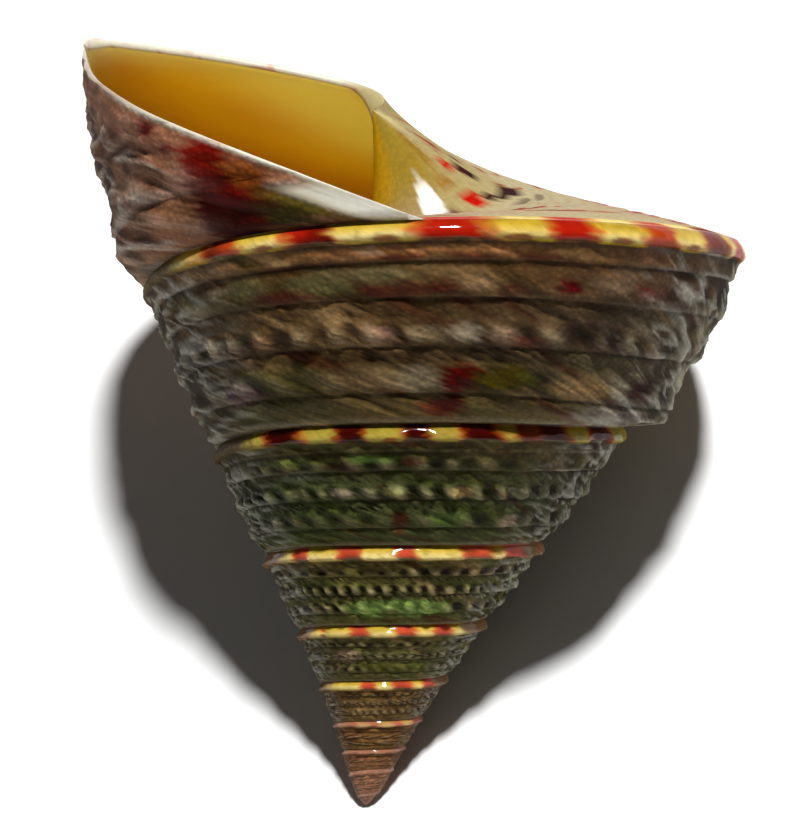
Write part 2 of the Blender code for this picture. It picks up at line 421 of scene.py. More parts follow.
def lining_base(time, share):
    corner = lining_side(time, np.ones_like(share))
    inset = np.clip(share / SUTURE_INSET, 0.0, 1.0)[..., None]
    start = under(base_surface, time, PILLAR_START)
    onward = under(base_surface, time, PILLAR_START + LINING_ENTRY)
    end = pillar_point(time, FOOT_INSET)
    s = np.clip((share - PILLAR_START) / (1.0 - PILLAR_START), 0.0, 1.0)[..., None]
    turned_up = start * (1.0 - s) ** 2 + onward * 2.0 * s * (1.0 - s) + end * s * s
    inside = under(base_surface, time, np.maximum(share, SUTURE_INSET))
    inside = corner * (1.0 - inset) + inside * inset
    return np.where(s > 0.0, turned_up, inside)


# Paint: the colours that grew with the shell, with some painted light and shade, kept in a colour attribute on
# its mesh


def linear(colour):
    """A hex colour as linear red, green and blue."""
    value = np.array([int(colour[first : first + 2], 16) for first in (1, 3, 5)]) / 255.0
    return np.where(value <= 0.04045, value / 12.92, ((value + 0.055) / 1.055) ** 2.4)


def layered(ground, *layers):
    """The ground with layers on it, each a colour and its strength: all of it shows where that is 1."""
    for colour, strength in layers:
        ground = ground + (linear(colour) - ground) * np.clip(strength, 0.0, 1.0)[..., None]
    return ground


# The side's ground colour by turn, as the shell grew. It is more olive near the suture, warmer near the keel.
GROUND_STAGES = (
    (-8.5, "#C69A80"), (-7.0, "#A07054"), (-5.5, "#7E5028"), (-4.0, "#785C34"),
    (-3.0, "#666238"), (-2.0, "#5E5A2C"), (-1.2, "#3E4824"), (-0.6, "#46442A"),
    (0.0, "#543E24"), (0.14, "#4A3B29"), (0.3, "#766A4E"), (0.85, "#A0684E"),
)
OLIVE_GROUND = "#4A4A20"
WARM_GROUND = "#6A4020"

# Marks on the side, set one by one: turn, share, half length in turns, half width in shares, colour, strength.
SIDE_MARKS = (
    (0.103, 0.52, 0.022, 0.05, "#241810", 0.7), (0.011, 0.352, 0.06, 0.04, "#2C1F12", 0.6),
    (0.104, 0.6, 0.02, 0.03, "#2C2014", 0.5), (-0.006, 0.87, 0.06, 0.03, "#A06C40", 0.75),
    (-0.076, 0.69, 0.02, 0.035, "#521A14", 0.75), (-0.009, 0.69, 0.022, 0.04, "#5E1E18", 0.6),
    (0.013, 0.7, 0.01, 0.03, "#4A1812", 0.75), (0.048, 0.68, 0.009, 0.028, "#4A1812", 0.7),
    (0.079, 0.71, 0.008, 0.035, "#44070A", 1.2), (0.128, 0.72, 0.01, 0.035, "#5C1A18", 0.7),
    (-0.103, 0.75, 0.018, 0.05, "#747248", 0.42), (-0.052, 0.74, 0.022, 0.06, "#6E6C44", 0.45),
    (-0.019, 0.76, 0.02, 0.035, "#8A8256", 0.42), (0.029, 0.72, 0.01, 0.04, "#A8825C", 0.5),
    (0.106, 0.74, 0.016, 0.05, "#705A46", 0.5), (-0.01, 0.84, 0.013, 0.012, "#5A120E", 0.7),
    (0.025, 0.84, 0.014, 0.012, "#5A120E", 0.6), (0.058, 0.84, 0.012, 0.012, "#5A120E", 0.6),
    (-0.026, 0.87, 0.006, 0.02, "#D0AC84", 0.55), (-0.097, 0.47, 0.01, 0.04, "#8A5C3A", 0.45),
    (-0.12, 0.45, 0.008, 0.03, "#6E342A", 0.45), (-0.06, 0.47, 0.009, 0.04, "#74583C", 0.4),
    (-0.019, 0.47, 0.01, 0.042, "#8E6A58", 0.45), (0.01, 0.48, 0.01, 0.038, "#9A8460", 0.45),
    (0.029, 0.48, 0.01, 0.042, "#B4A488", 0.5), (0.05, 0.47, 0.01, 0.04, "#9A7A60", 0.45),
    (0.066, 0.44, 0.013, 0.03, "#6E3028", 0.45), (-0.09, 0.27, 0.045, 0.07, "#3E3E1A", 0.5),
    (-0.03, 0.25, 0.034, 0.066, "#6C583A", 0.6), (0.006, 0.25, 0.016, 0.066, "#948468", 0.5),
    (0.032, 0.26, 0.014, 0.08, "#4A0804", 1.2), (0.029, 0.12, 0.012, 0.05, "#3A0C08", 1.0),
    (0.058, 0.25, 0.018, 0.08, "#3E340A", 1.0), (0.074, 0.27, 0.008, 0.04, "#3C4014", 0.6),
    (0.112, 0.24, 0.024, 0.066, "#8E7048", 0.8), (0.16, 0.25, 0.012, 0.06, "#5C2A2A", 0.55),
    (-0.125, 0.22, 0.02, 0.06, "#6E4A58", 0.45), (0.022, 0.1, 0.014, 0.045, "#5A1A14", 0.7),
    (0.15, 0.1, 0.04, 0.08, "#9A8C84", 0.45), (-0.1, 0.1, 0.06, 0.08, "#46482E", 0.5),
    (-1.088, 0.61, 0.024, 0.05, "#6A6E54", 0.6), (-1.022, 0.75, 0.022, 0.04, "#4A6A28", 0.55),
    (-1.095, 0.74, 0.04, 0.05, "#5E6A2E", 0.5), (-0.99, 0.72, 0.01, 0.04, "#4A1812", 0.6),
    (-1.1, 0.47, 0.008, 0.045, "#8E8E62", 0.45), (-1.051, 0.47, 0.01, 0.045, "#A08A74", 0.5),
    (-1.028, 0.47, 0.007, 0.04, "#8E8468", 0.45), (-1.002, 0.48, 0.01, 0.045, "#AAA868", 0.55),
    (-0.945, 0.48, 0.009, 0.045, "#A88454", 0.55), (-0.895, 0.48, 0.008, 0.045, "#8A8668", 0.4),
    (-0.995, 0.22, 0.008, 0.11, "#4E140E", 0.65), (-0.885, 0.23, 0.012, 0.06, "#B09078", 0.55),
    (-0.95, 0.25, 0.02, 0.07, "#5C7430", 0.45), (-0.99, 0.87, 0.02, 0.025, "#4A1410", 0.5),
    (-1.985, 0.24, 0.08, 0.12, "#84A650", 0.55), (-1.99, 0.15, 0.015, 0.1, "#4E1C10", 0.4),
    (-3.07, 0.48, 0.03, 0.12, "#B49078", 0.5), (-2.96, 0.28, 0.08, 0.12, "#4C4E12", 0.55),
    (0.888, 0.275, 0.013, 0.06, "#7A1206", 1.3), (0.892, 0.2, 0.016, 0.075, "#660E04", 1.4),
    (0.9, 0.12, 0.022, 0.08, "#480804", 1.4), (0.908, 0.05, 0.026, 0.055, "#3C0C03", 1.4),
    (0.926, 0.085, 0.014, 0.055, "#44220A", 1.2), (0.936, 0.05, 0.016, 0.04, "#3C3210", 1.1),
    (0.914, 0.175, 0.012, 0.028, "#7A3C10", 1.0), (0.907, 0.218, 0.009, 0.026, "#9A5424", 0.9),
    (0.87, 0.218, 0.011, 0.04, "#B4806A", 0.55), (0.855, 0.405, 0.005, 0.022, "#640C0C", 1.1),
    (0.867, 0.318, 0.006, 0.024, "#580C0C", 1.0),
)

# Red stretches of the keel's cord: from turn, to turn, depth. A measuring script worked out these turns.
# The rest are random.
KEEL_REDS = (
    (-0.121, -0.099, 0.9), (-0.068, -0.045, 1.0), (-0.003, 0.031, 1.0), (0.061, 0.084, 1.0),
    (0.113, 0.134, 0.9), (0.159, 0.184, 0.9), (0.197, 0.222, 1.0), (-1.115, -1.08, 1.0),
    (-1.048, -1.028, 1.0), (-0.999, -0.982, 1.0), (-0.957, -0.931, 1.0), (-0.916, -0.899, 0.7),
    (-0.899, -0.869, 1.0), (-0.846, -0.815, 1.0), (-2.124, -2.103, 1.0), (-2.059, -2.035, 1.0),
    (-1.993, -1.972, 1.0), (-1.919, -1.885, 0.9), (-1.863, -1.83, 1.0), (-3.118, -3.11, 0.8),
    (-3.054, -3.026, 1.0), (-2.977, -2.947, 1.0), (-2.912, -2.881, 1.0), (-4.04, -4.008, 1.0),
    (-3.959, -3.916, 1.0), (-3.882, -3.848, 1.0),
)
# Brown spots on the cord, in the same columns as the marks on the side.
CORD_SPOTS = (
    (-0.082, 0.95, 0.006, 0.014, "#7A3408", 0.85), (-0.018, 0.952, 0.007, 0.014, "#7A3408", 0.85),
    (0.044, 0.952, 0.008, 0.014, "#7A3408", 0.85), (0.098, 0.952, 0.007, 0.014, "#7A3408", 0.85),
    (0.146, 0.952, 0.006, 0.014, "#7A3408", 0.85), (-1.01, 0.95, 0.006, 0.014, "#7A3408", 0.85),
)
MEASURED_REACH = 0.21  # the measured stretches reach this far to either side of a whole turn
OLDEST_MEASURED = -4.5  # and no turn before this one has any

# The grooves between the bands: the middle and the half width.
GROOVES = ((0.17, 0.01), (0.404, 0.01), (0.64, 0.011), (0.829, 0.011), (0.92, 0.008))
GREENER = (-1.3, -0.75)  # the second turn's side is greener than the others
DULLER = (-1.3, -0.7)  # and its cord is duller
CORD_EDGE = 0.93  # share of the side where the cord's colours start
CORD_CREST = 0.96
WORN_CORD = ((-0.3, -0.15), (-1.3, -1.135))  # turns where the left end of the cord is worn brown
WORN_GLAZE = ((-0.3, -0.142), (-1.3, -1.128))  # and where its glaze is gone


def side_turn(time, share):
    return time + series(SIDE_LAG, share)


def soft_mark(turn, share, place, middle, length, width, seed, uneven):
    """1 in the middle of a mark, 0 outside it, with an uneven soft edge."""
    wave = 0.34 * ripple(turn * 70.0, share * 15.0, seed) + 0.12 * ripple(turn * 150.0, share * 34.0, seed)
    far = ((turn - place) / length) ** 2 + ((share - middle) / width) ** 2 + wave * uneven
    return fade(far, 0.45, 1.35)


def side_ground(turn, share):
    drift = turn + 0.07 * ripple(turn * 4.0, share * 5.0, 71)
    turns = [stage for stage, _ in GROUND_STAGES]
    levels = np.array([linear(colour) for _, colour in GROUND_STAGES])
    ground = np.stack([np.interp(drift, turns, levels[:, channel]) for channel in range(3)], axis=-1)
    olive = fade(share, 0.15, 0.5) * fade(-turn, 5.0, 6.5)
    return layered(ground, (OLIVE_GROUND, 0.25 * olive), (WARM_GROUND, 0.24 * smooth(share, 0.5, 0.85)))


def keel_red(turn):
    """How red the keel's cord is: 1 on its red stretches, 0 on its yellow beads."""
    wave = np.cos(CIRCLE * (turn * KEEL_BEADS / 2.0)) + 0.9 * ripple(turn * 19.0, 3.0, 81)
    red = smooth(wave, 0.05, 0.5)
    whole = np.rint(turn)
    measured = (np.abs(turn - whole) < MEASURED_REACH) & (whole < 0.5) & (turn > OLDEST_MEASURED)
    red = np.where(measured, 0.0, red)
    for start, end, depth in KEEL_REDS:
        edge = 0.22 * (end - start)
        red = np.maximum(red, hump(turn, start, end, edge) * depth)
    return red


def marked(paint, turn, share, marks, seed, uneven=1.0):
    """Paint with marks laid on it, each with the next seed."""
    for number, (*place, colour, strength) in enumerate(marks):
        mark = soft_mark(turn, share, *place, seed + number, uneven)
        paint = layered(paint, (colour, strength * mark))
    return paint


def flamed(paint, time, turn, share, old, late):
    """Flames of wine, buff and moss green run along the growth lines and change at each band."""
    band = np.searchsorted([middle for middle, _ in GROOVES], share) * 13.7
    flame = ripple(time * 34.0, band + share * 2.0, 72) + 0.6 * ripple(time * 83.0, band + share * 4.0, 73)
    green = ripple(time * 21.0, band + share * 3.0, 74) + 0.5 * ripple(time * 60.0, band + share * 9.0, 75)
    wine = (0.65 - 0.3 * old) * (1.0 - 0.85 * late)
    buff = (0.55 - 0.35 * hump(turn, *GREENER, 0.1)) * (1.0 - 0.5 * late)
    moss = (0.35 + 0.65 * hump(turn, -3.4, -0.25, 0.5)) * (1.0 - old)
    return layered(
        paint,
        ("#3E0E08", smooth(flame, 0.4, 1.05) * wine),
        ("#9C7C52", smooth(-flame, 0.4, 1.2) * buff),
        ("#3F4812", smooth(green, 0.25, 1.0) * 0.6 * moss),
    )


def rubbed_and_highlit(paint, turn, relief, old, late):
    """Beads and ridges are paler on top, partly their own worn colour and partly a painted highlight, and
    darker between them.
    """
    green_turn = hump(turn, *GREENER, 0.08)
    pale_and_highlight = (0.42 - 0.1 * old) * (1.0 - 0.5 * late) * (1.0 - 0.4 * green_turn)
    darker_between = (0.62 + 0.3 * hump(turn, -3.6, -0.6, 0.3) - 0.25 * green_turn) * (1.0 - 0.8 * late)
    return layered(
        paint,
        ("#AE9B78", smooth(relief, 0.0015, 0.012) * pale_and_highlight),
        ("#120B05", smooth(-relief, 0.0006, 0.005) * darker_between),
    )


def sheened_and_shaded(paint, time, turn, share, level, relief, crest, old):
    """Away from the front the ridges get a pale painted sheen, standing in for grazing reflections, and the
    pits between them get painted shade.
    """
    painted_sheen = flank(turn) * (1.0 - 0.7 * old) * (1.0 - 0.8 * smooth(time, 0.955, 0.98))
    edges = sum(bell(level, middle + 0.02, 0.012) for middle, _ in GROOVES[:4])
    net = smooth(cells(time, share), 0.35, 0.85)
    ridge = np.clip(net + 0.5 * crest + 0.5 * smooth(relief, 0.0005, 0.008) + 0.5 * edges, 0.0, 1.0)
    pit_shade = (1.0 - ridge) ** 0.6 * smooth(ripple(turn * 60.0, share * 12.0, 79), -0.6, 0.3)
    return layered(paint, ("#B4B2A6", 0.58 * painted_sheen * ridge), ("#22100E", 0.72 * painted_sheen * pit_shade))


def side_paint(time, share):
    turn = side_turn(time, share)
    level = band_place(turn, share)
    old = smooth(-turn, 3.5, 5.5)
    late = smooth(turn, 0.74, 0.84)
    paint = flamed(side_ground(turn, share), time, turn, share, old, late)
    # The last turn is painted lighter in a strip over the cord, a painted light against the shade of the
    # cord's overhang, and lighter at its front below the suture.
    cord_overhang_light = hump(level, 0.845, 0.905, 0.012) * smooth(turn, -0.5, 0.0)
    paint = paint * (1.0 + 0.8 * cord_overhang_light)[..., None]
    front = smooth(turn, -0.2, -0.06) * fade(turn, 0.1, 0.2)
    paint = paint * (1.0 + 0.5 * front * fade(share, 0.09, 0.14))[..., None]
    relief = beads(time, share, level)
    # Paler bead tops, partly worn colour and partly painted highlight, and darker hollows between them.
    paint = rubbed_and_highlit(paint, turn, relief, old, late)
    paint = marked(paint, turn, share, SIDE_MARKS, 200)
    crest = smooth(crests(time, share), 0.2, 0.8)
    paint = paint * (0.92 + 0.55 * crest)[..., None]
    # Painted sheen on the ridges and painted shade in the pits, away from the front.
    paint = sheened_and_shaded(paint, time, turn, share, level, relief, crest, old)
    grain = ripple(time * 330.0, share * 60.0, 76)
    streak = ripple(time * 260.0, share * 5.0, 77)
    paint = paint * np.exp(0.24 * grain + 0.07 * streak)[..., None]
    # Painted shade: a dark line along each groove between the bands.
    for middle, half_width in GROOVES:
        groove_shade = 0.7 * bell(level, middle, half_width) * (1.0 - 0.85 * late)
        paint = layered(paint, ("#1E1109", groove_shade * (0.8 + 0.5 * ripple(turn * 45.0, middle * 50.0, 78))))
    seam = bell(share, 0.028, 0.014) * (1.0 - old) * (1.0 - late)
    # Where the lip meets the turn before, it is coated with olive and then white enamel. Its edge is bare.
    corner = fade(share, 0.1, 0.15)
    paint = layered(
        paint,
        ("#A89C80", 0.45 * seam),
        ("#6A5C20", smooth(time, 0.958, 0.97) * corner * 0.6),
        ("#F4F0DC", smooth(time, 0.97, 0.984) * corner),
        ("#D8D2C0", smooth(time, 0.995, 1.0) * (0.9 - 0.7 * smooth(share, 0.4, 0.65))),
    )
    return keel_paint(paint, turn, level)


def keel_paint(paint, turn, share):
    """Paint with the keel's cord laid over it, from CORD_EDGE on: yellow beads and red stretches."""
    young = smooth(-turn, 4.6, 5.4)
    older = smooth(-turn, 1.6, 1.9)
    dull = hump(turn, *DULLER, 0.1)
    ragged = turn + 0.004 * ripple(turn * 150.0, share * 90.0, 86) + 0.1 * (share - CORD_CREST)
    red = keel_red(ragged)
    start = CORD_EDGE + 0.012 * red + 0.004 * ripple(turn * 120.0, 4.0, 85)
    on_cord = smooth(share, start, start + 0.01)
    hue = 0.5 + 0.5 * ripple(turn * 40.0, 5.0, 82)
    deep = 0.5 + 0.5 * ripple(turn * 23.0, 7.0, 84)
    deepest = smooth(deep, 0.35, 0.85) * (0.8 - 0.6 * smooth(-turn, 1.5, 1.8))
    mottle = smooth(ripple(turn * 220.0, share * 110.0, 87), 0.1, 0.8)
    worn = np.maximum(*(hump(turn, first, last, 0.015) for first, last in WORN_CORD))
    off_front = smooth(np.abs(turn - np.rint(turn)), 0.125, 0.165) * smooth(-turn, 1.5, 1.7)
    cord = layered(
        np.broadcast_to(linear("#CFAC30"), paint.shape),
        # The pale cream along the cord's crest, stronger on the older turns, is partly the beads' own paler
        # colour and partly a painted highlight.
        ("#EDE0A6", (0.15 + 0.5 * hue) * bell(share, 0.964, 0.014)),
        ("#C87A2A", smooth(ripple(turn * 31.0, 9.0, 83), 0.35, 0.9) * 0.6),
        ("#8A7E2C", dull * 0.78),
        ("#B8962C", older * 0.4),
        ("#E6D898", older * 0.45 * bell(share, CORD_CREST, 0.016)),
        ("#4A3C34", worn * 0.9),
        ("#7A5648", off_front * 0.85),
        ("#C8641C", 2.0 * red * (1.0 - red)),
        ("#B01C0A", red),
        ("#D0583A", red * older * 0.7),
        ("#3A0603", red * np.maximum(deepest, dull)),
        ("#C88E74", young),
        ("#6A5A18", mottle * 0.35 * (1.0 - red)),
        # Painted shade: the cord is darkened on its flank towards the apex, and at its edge where the next
        # turn meets it.
        ("#2A0E06", fade(share, 0.938, 0.954) * (0.45 + 0.4 * red)),
        ("#3A1208", smooth(share, 0.982, 1.0) * 0.35),
    )
    cord = marked(cord, turn, share, CORD_SPOTS, 400, 0.4)
    return paint + (cord - paint) * (on_cord * (1.0 - 0.6 * young))[..., None]


# Marks on the base: turn, share, half length in turns, half width in shares, colour, strength.
BASE_MARKS = (
    (0.32, 0.905, 0.037, 0.022, "#8E2A22", 1.4), (0.33, 0.835, 0.015, 0.016, "#3A1216", 1.4),
    (0.205, 0.868, 0.027, 0.022, "#B01208", 1.4), (0.255, 0.848, 0.027, 0.019, "#3A0406", 1.4),
    (0.265, 0.818, 0.022, 0.019, "#2A0406", 1.4), (0.155, 0.778, 0.03, 0.023, "#B01208", 1.4),
    (0.2, 0.755, 0.018, 0.019, "#2A0406", 1.4), (0.24, 0.742, 0.025, 0.019, "#2A0406", 1.4),
    (0.28, 0.715, 0.027, 0.022, "#2A0406", 1.4), (0.06, 0.772, 0.05, 0.014, "#54180E", 1.4),
    (0.215, 0.68, 0.03, 0.016, "#5E4A40", 0.8), (0.25, 0.64, 0.031, 0.016, "#5E4A40", 0.7),
    (0.01, 0.105, 0.022, 0.01, "#6A2418", 0.75), (0.098, 0.12, 0.014, 0.012, "#74261C", 0.8),
    (0.146, 0.12, 0.012, 0.012, "#74261C", 0.75), (0.179, 0.06, 0.008, 0.02, "#8A1A14", 0.8),
    (0.11, 0.42, 0.05, 0.012, "#8C8078", 0.5), (0.17, 0.5, 0.04, 0.012, "#8C8078", 0.5),
)
PAINTED_HIGHLIGHT = (0.04, 0.812, 0.03, 0.056)  # a painted highlight, the white oval where the pillar flares out to the base: turn, share, half length and width


def base_paint(time, share):
    """Cream with a blush, and flames that break up into spots on the threads.

    The pillar is coated with olive enamel, and a white oval where it flares out to the base is a painted
    highlight.
    """
    turn = time + KEEL_LAG + series(BASE_LAG, share)
    blush = ripple(turn * 9.0, share * 5.0, 91)
    row = 0.5 + 0.5 * np.cos(CIRCLE * share * THREADS / PILLAR_START)
    flame = ripple(turn * 23.0, share * 7.0, 92) + 0.5 * ripple(turn * 61.0, share * 26.0, 93) + 0.5 * row
    enamel = smooth(share, 0.79, 0.89) * fade(turn, 0.05, 0.22)
    paint = layered(
        np.broadcast_to(linear("#A89A76"), turn.shape + (3,)),
        ("#A47868", smooth(blush, -0.1, 0.9) * 0.55),
        ("#B3A27A", smooth(-blush, 0.1, 0.9) * 0.6),
        ("#A01E18", smooth(flame, 0.75, 1.15) * smooth(share, 0.06, 0.12) * 0.85),
        ("#4E1012", smooth(flame, 1.0, 1.4) * 0.7),
        ("#94803C", hump(share, 0.74, 0.95, 0.05) * 0.5),
        ("#C8B67E", smooth(share, 0.94, 0.98)),
        ("#8F7521", enamel * 0.95),
        ("#B08512", enamel * smooth(-turn, 0.03, 0.13)),
        # Painted highlight: a white oval where the pillar flares out to the base.
        ("#FFFDF4", soft_mark(turn, share, *PAINTED_HIGHLIGHT, 99, 0.0) * 1.2),
    )
    paint = marked(paint, turn, share, BASE_MARKS, 300)
    between = smooth(1.0 - row, 0.55, 1.0) * smooth(share, 0.05, 0.1) * fade(share, 0.6, 0.7)
    paint = layered(paint, ("#8C7A62", between * 0.28))
    # The keel's cord comes round on to the edge of the base.
    on_cord = fade(share, 0.04, 0.066)
    cord = keel_paint(paint, turn, 0.965 + 0.2 * share)
    return paint + (cord - paint) * on_cord[..., None]


def lip_paint(ring, across):
    """Bone with pink, olive, brown and rusty stretches. Ring is the share of the way round the lip."""
    return layered(
        np.broadcast_to(linear("#DCD6C4"), ring.shape + (3,)),
        ("#C89C98", smooth(ripple(ring * 40.0, across * 2.0, 95), 0.3, 0.9) * 0.45),
        ("#A89858", smooth(ring, 0.86, 0.9) * 0.8),
        ("#84705F", hump(ring, 0.15, 0.29, 0.05) * 0.65),
        ("#B0522E", smooth(ripple(ring * 63.0, across, 96), 0.62, 0.8) * 0.55),
    )


def tube_paint(time, around):
    """Yellow, paler towards the pillar and the lip. Around is the share, and goes on from side to base."""
    cloud = ripple(time * 12.0, around * 4.0, 97)
    return layered(
        np.broadcast_to(linear("#E6C634"), time.shape + (3,)),
        ("#EFD86A", smooth(cloud, 0.0, 0.9) * 0.5),
        ("#C08A1A", smooth(-cloud, 0.2, 0.9) * 0.35),
        ("#C6981A", fade(around, 1.04, 1.22) * 0.45),
        ("#F8ECB4", smooth(around, 1.16, 1.55) * 0.9),
        ("#E6DCC0", smooth(time, 0.968, 1.0) * (0.9 - 0.3 * smooth(around, 1.1, 1.3))),
        ("#D9C98A", smooth(around, 1.7, 1.85) * 0.7),
    )


# Materials


def add_node(tree, kind, settings, inputs):
    """Add a node. Settings are its properties. An input is a number, a colour or the output it links to."""
    node = tree.nodes.new("ShaderNode" + kind)
    for name, value in settings.items():
        setattr(node, name, value)
    for name, value in inputs.items():
        if isinstance(value, bpy.types.NodeSocket):
            tree.links.new(value, node.inputs[name])
        else:
            node.inputs[name].default_value = value
    return node


CLOUD_WIDTH = 2.0  # mm across a patch that is rougher or smoother than the rest


def shell_material(name, finish, lines, grain, tint, swing):
    """Shell with painted colour, growth lines and grain.

    lines: growth lines in a turn, their height in mm, and their breaks across a side.
    grain: width and height of a grain in mm.
    tint: how much the fine pattern lightens and darkens the paint.
    swing: how far the roughness strays from its own value.

    Real growth lines lie about 0.1 mm apart and grains are under 0.05 mm, too fine to show. Outside, the
    lines are 0.3 to 0.4 mm apart on the last turn and the grains 0.3 to 0.6 mm wide, so that they do show.
    """
    material = bpy.data.materials.new(name)
    material.use_nodes = True
    tree = material.node_tree
    shader = tree.nodes["Principled BSDF"]
    for socket, value in finish.items():
        shader.inputs[socket].default_value = value
    paint = add_node(tree, "VertexColor", {"layer_name": "paint"}, {})
    growth = add_node(tree, "UVMap", {"uv_map": "growth"}, {})
    place = add_node(tree, "TexCoord", {}, {})
    per_turn, line_height, across = lines
    grain_width, grain_height = grain
    stretch = add_node(
        tree, "Mapping", {}, {"Vector": growth.outputs["UV"], "Scale": (per_turn, across, 1.0)}
    )
    striae = add_node(
        tree,
        "TexNoise",
        {"noise_dimensions": "2D"},
        {"Vector": stretch.outputs["Vector"], "Scale": 1.0, "Detail": 3.0, "Roughness": 0.6},
    )
    grains = add_node(
        tree,
        "TexVoronoi",
        {"feature": "SMOOTH_F1"},
        {"Vector": place.outputs["Object"], "Scale": 1.0 / (grain_width * MM), "Smoothness": 0.6},
    )
    clouds = add_node(
        tree,
        "TexNoise",
        {},
        {"Vector": place.outputs["Object"], "Scale": 1.0 / (CLOUD_WIDTH * MM), "Detail": 4.0},
    )
    fine = add_node(
        tree, "Math", {"operation": "SUBTRACT"}, {0: striae.outputs["Fac"], 1: grains.outputs["Distance"]}
    )
    shade = add_node(tree, "MapRange", {}, {
        "Value": fine.outputs["Value"],
        "From Min": -0.4,
        "From Max": 0.6,
        "To Min": 1.0 - tint,
        "To Max": 1.0 + tint,
    })
    colour = add_node(
        tree,
        "VectorMath",
        {"operation": "SCALE"},
        {0: paint.outputs["Color"], "Scale": shade.outputs["Result"]},
    )
    roughness = add_node(tree, "MapRange", {}, {
        "Value": clouds.outputs["Fac"],
        "From Min": 0.3,
        "From Max": 0.7,
        "To Min": finish["Roughness"] - swing,
        "To Max": finish["Roughness"] + swing,
    })
    ridges = add_node(
        tree, "Bump", {}, {"Height": striae.outputs["Fac"], "Distance": line_height * MM}
    )
    pits = add_node(tree, "Bump", {"invert": True}, {
        "Height": grains.outputs["Distance"],
        "Distance": grain_height * MM,
        "Normal": ridges.outputs["Normal"],
    })
    tree.links.new(colour.outputs["Vector"], shader.inputs["Base Color"])
    tree.links.new(roughness.outputs["Result"], shader.inputs["Roughness"])
    tree.links.new(pits.outputs["Normal"], shader.inputs["Normal"])
    return material


# The outer layers have no specular level, because at low angles that lays a white haze over dark colours.
# Their gloss is a thin coat instead.
#
# The side is calcite laid down by the mantle's edge and worn by sand: satin, with the growth lines open.
RUGOSE = shell_material(
    "rugose calcite side",
    {"Roughness": 0.42, "IOR": 1.53, "Specular IOR Level": 0.0, "Coat Weight": 0.1, "Coat Roughness": 0.4},
    lines=(260.0, 0.016, 26.0),
    grain=(0.28, 0.06),
    tint=0.22,
    swing=0.12,
)
# The keel is glazed with dense smooth enamel, so it throws small sharp glints.
GLAZED = shell_material(
    "glazed keel enamel",
    {"Roughness": 0.3, "IOR": 1.55, "Specular IOR Level": 0.0, "Coat Weight": 0.35, "Coat Roughness": 0.07},
    lines=(300.0, 0.03, 6.0),
    grain=(0.55, 0.05),
    tint=0.12,
    swing=0.06,
)
# The base is polished by the moving foot: a faint porcelain gloss over cream.
POLISHED = shell_material(
    "polished porcelain base",
    {"Roughness": 0.34, "IOR": 1.5, "Specular IOR Level": 0.0, "Coat Weight": 0.05, "Coat Roughness": 0.1},
    lines=(380.0, 0.025, 10.0),
    grain=(0.3, 0.01),
    tint=0.14,
    swing=0.08,
)
# The mouth is lined with thin mother of pearl over yellow shell. Light comes through its thin wall.
LINED = shell_material(
    "amber nacre lining",
    {
        "Roughness": 0.32,
        "IOR": 1.55,
        "Subsurface Weight": 0.6,
        "Subsurface Radius": (1.0, 0.8, 0.3),
        "Subsurface Scale": 1.2 * MM,
        "Coat Weight": 0.25,
        "Coat Roughness": 0.15,
    },
    lines=(60.0, 0.004, 2.0),
    grain=(0.6, 0.001),
    tint=0.015,
    swing=0.02,
)
# The lip's edge is bare white shell, still growing, with a soft translucent look.
EDGED = shell_material(
    "white aragonite lip",
    {
        "Roughness": 0.36,
        "IOR": 1.55,
        "Subsurface Weight": 0.3,
        "Subsurface Radius": (1.0, 0.7, 0.45),
        "Subsurface Scale": 0.5 * MM,
    },
    lines=(300.0, 0.01, 12.0),
    grain=(0.25, 0.006),
    tint=0.06,
    swing=0.08,
)
ZONES = (RUGOSE, GLAZED, POLISHED, LINED, EDGED)


# Sheets. Each starts as a flat grid of rows and columns and is wrapped into its place.


def spread(shares, most):
    """The shares with more put between them, so that no gap is wider than most."""
    full = []
    for low, high in zip(shares, shares[1:]):
        parts = max(1, math.ceil((high - low) / most - TINY))
        full += [low + (high - low) * part / parts for part in range(parts)]
    return np.array(full + [shares[-1]])


# Where the base, the lip and the hollow start across the UV map. The side starts at 0.
BASE_FROM = 1.0
LIP_FROM = 4.0
TUBE_FROM = 5.0
# Zones are pairs of a place across the UV map and the material from there on.
SIDE_ZONES = ((0.0, RUGOSE), (0.946, GLAZED))
BASE_ZONES = ((0.0, GLAZED), (1.02, POLISHED))
LIP_ZONES = ((0.0, EDGED),)
TUBE_ZONES = ((0.0, LINED),)
CALLUS_SHARE = 0.12  # the lip's white coating lies above this share
CALLUS_TIME = 0.974  # and from this time on
WIDEST_GAP = 0.035  # between columns of the side, as a share
BASE_COLUMNS = 66
PILLAR_COLUMNS = 11
SIDE_SHARES = spread([share for share, _ in BAND_OUTLINE], WIDEST_GAP)
LIP_SHARES = np.linspace(0.0, 1.0, LIP_STEPS + 1)
BASE_SHARES = np.concatenate((
    LIP_SHARES * SUTURE_INSET,
    np.linspace(SUTURE_INSET, PILLAR_START, BASE_COLUMNS)[1:],
    np.linspace(PILLAR_START, FOOT_INSET, PILLAR_COLUMNS)[1:],
    FOOT_INSET + LIP_SHARES[1:] * (1.0 - FOOT_INSET),
))


def face_slots(time, share, zones):
    """The material slot of each face, from the growth time and share at its middle."""
    slots = np.zeros(len(share), np.int32)
    for first, material in zones:
        slots[share >= first] = ZONES.index(material)
    slots[(share < CALLUS_SHARE) & (time > CALLUS_TIME)] = ZONES.index(EDGED)
    turn = time + KEEL_LAG
    worn = np.logical_or(*((turn > first) & (turn < last) for first, last in WORN_GLAZE))
    slots[worn & (slots == ZONES.index(GLAZED))] = ZONES.index(RUGOSE)
    return slots


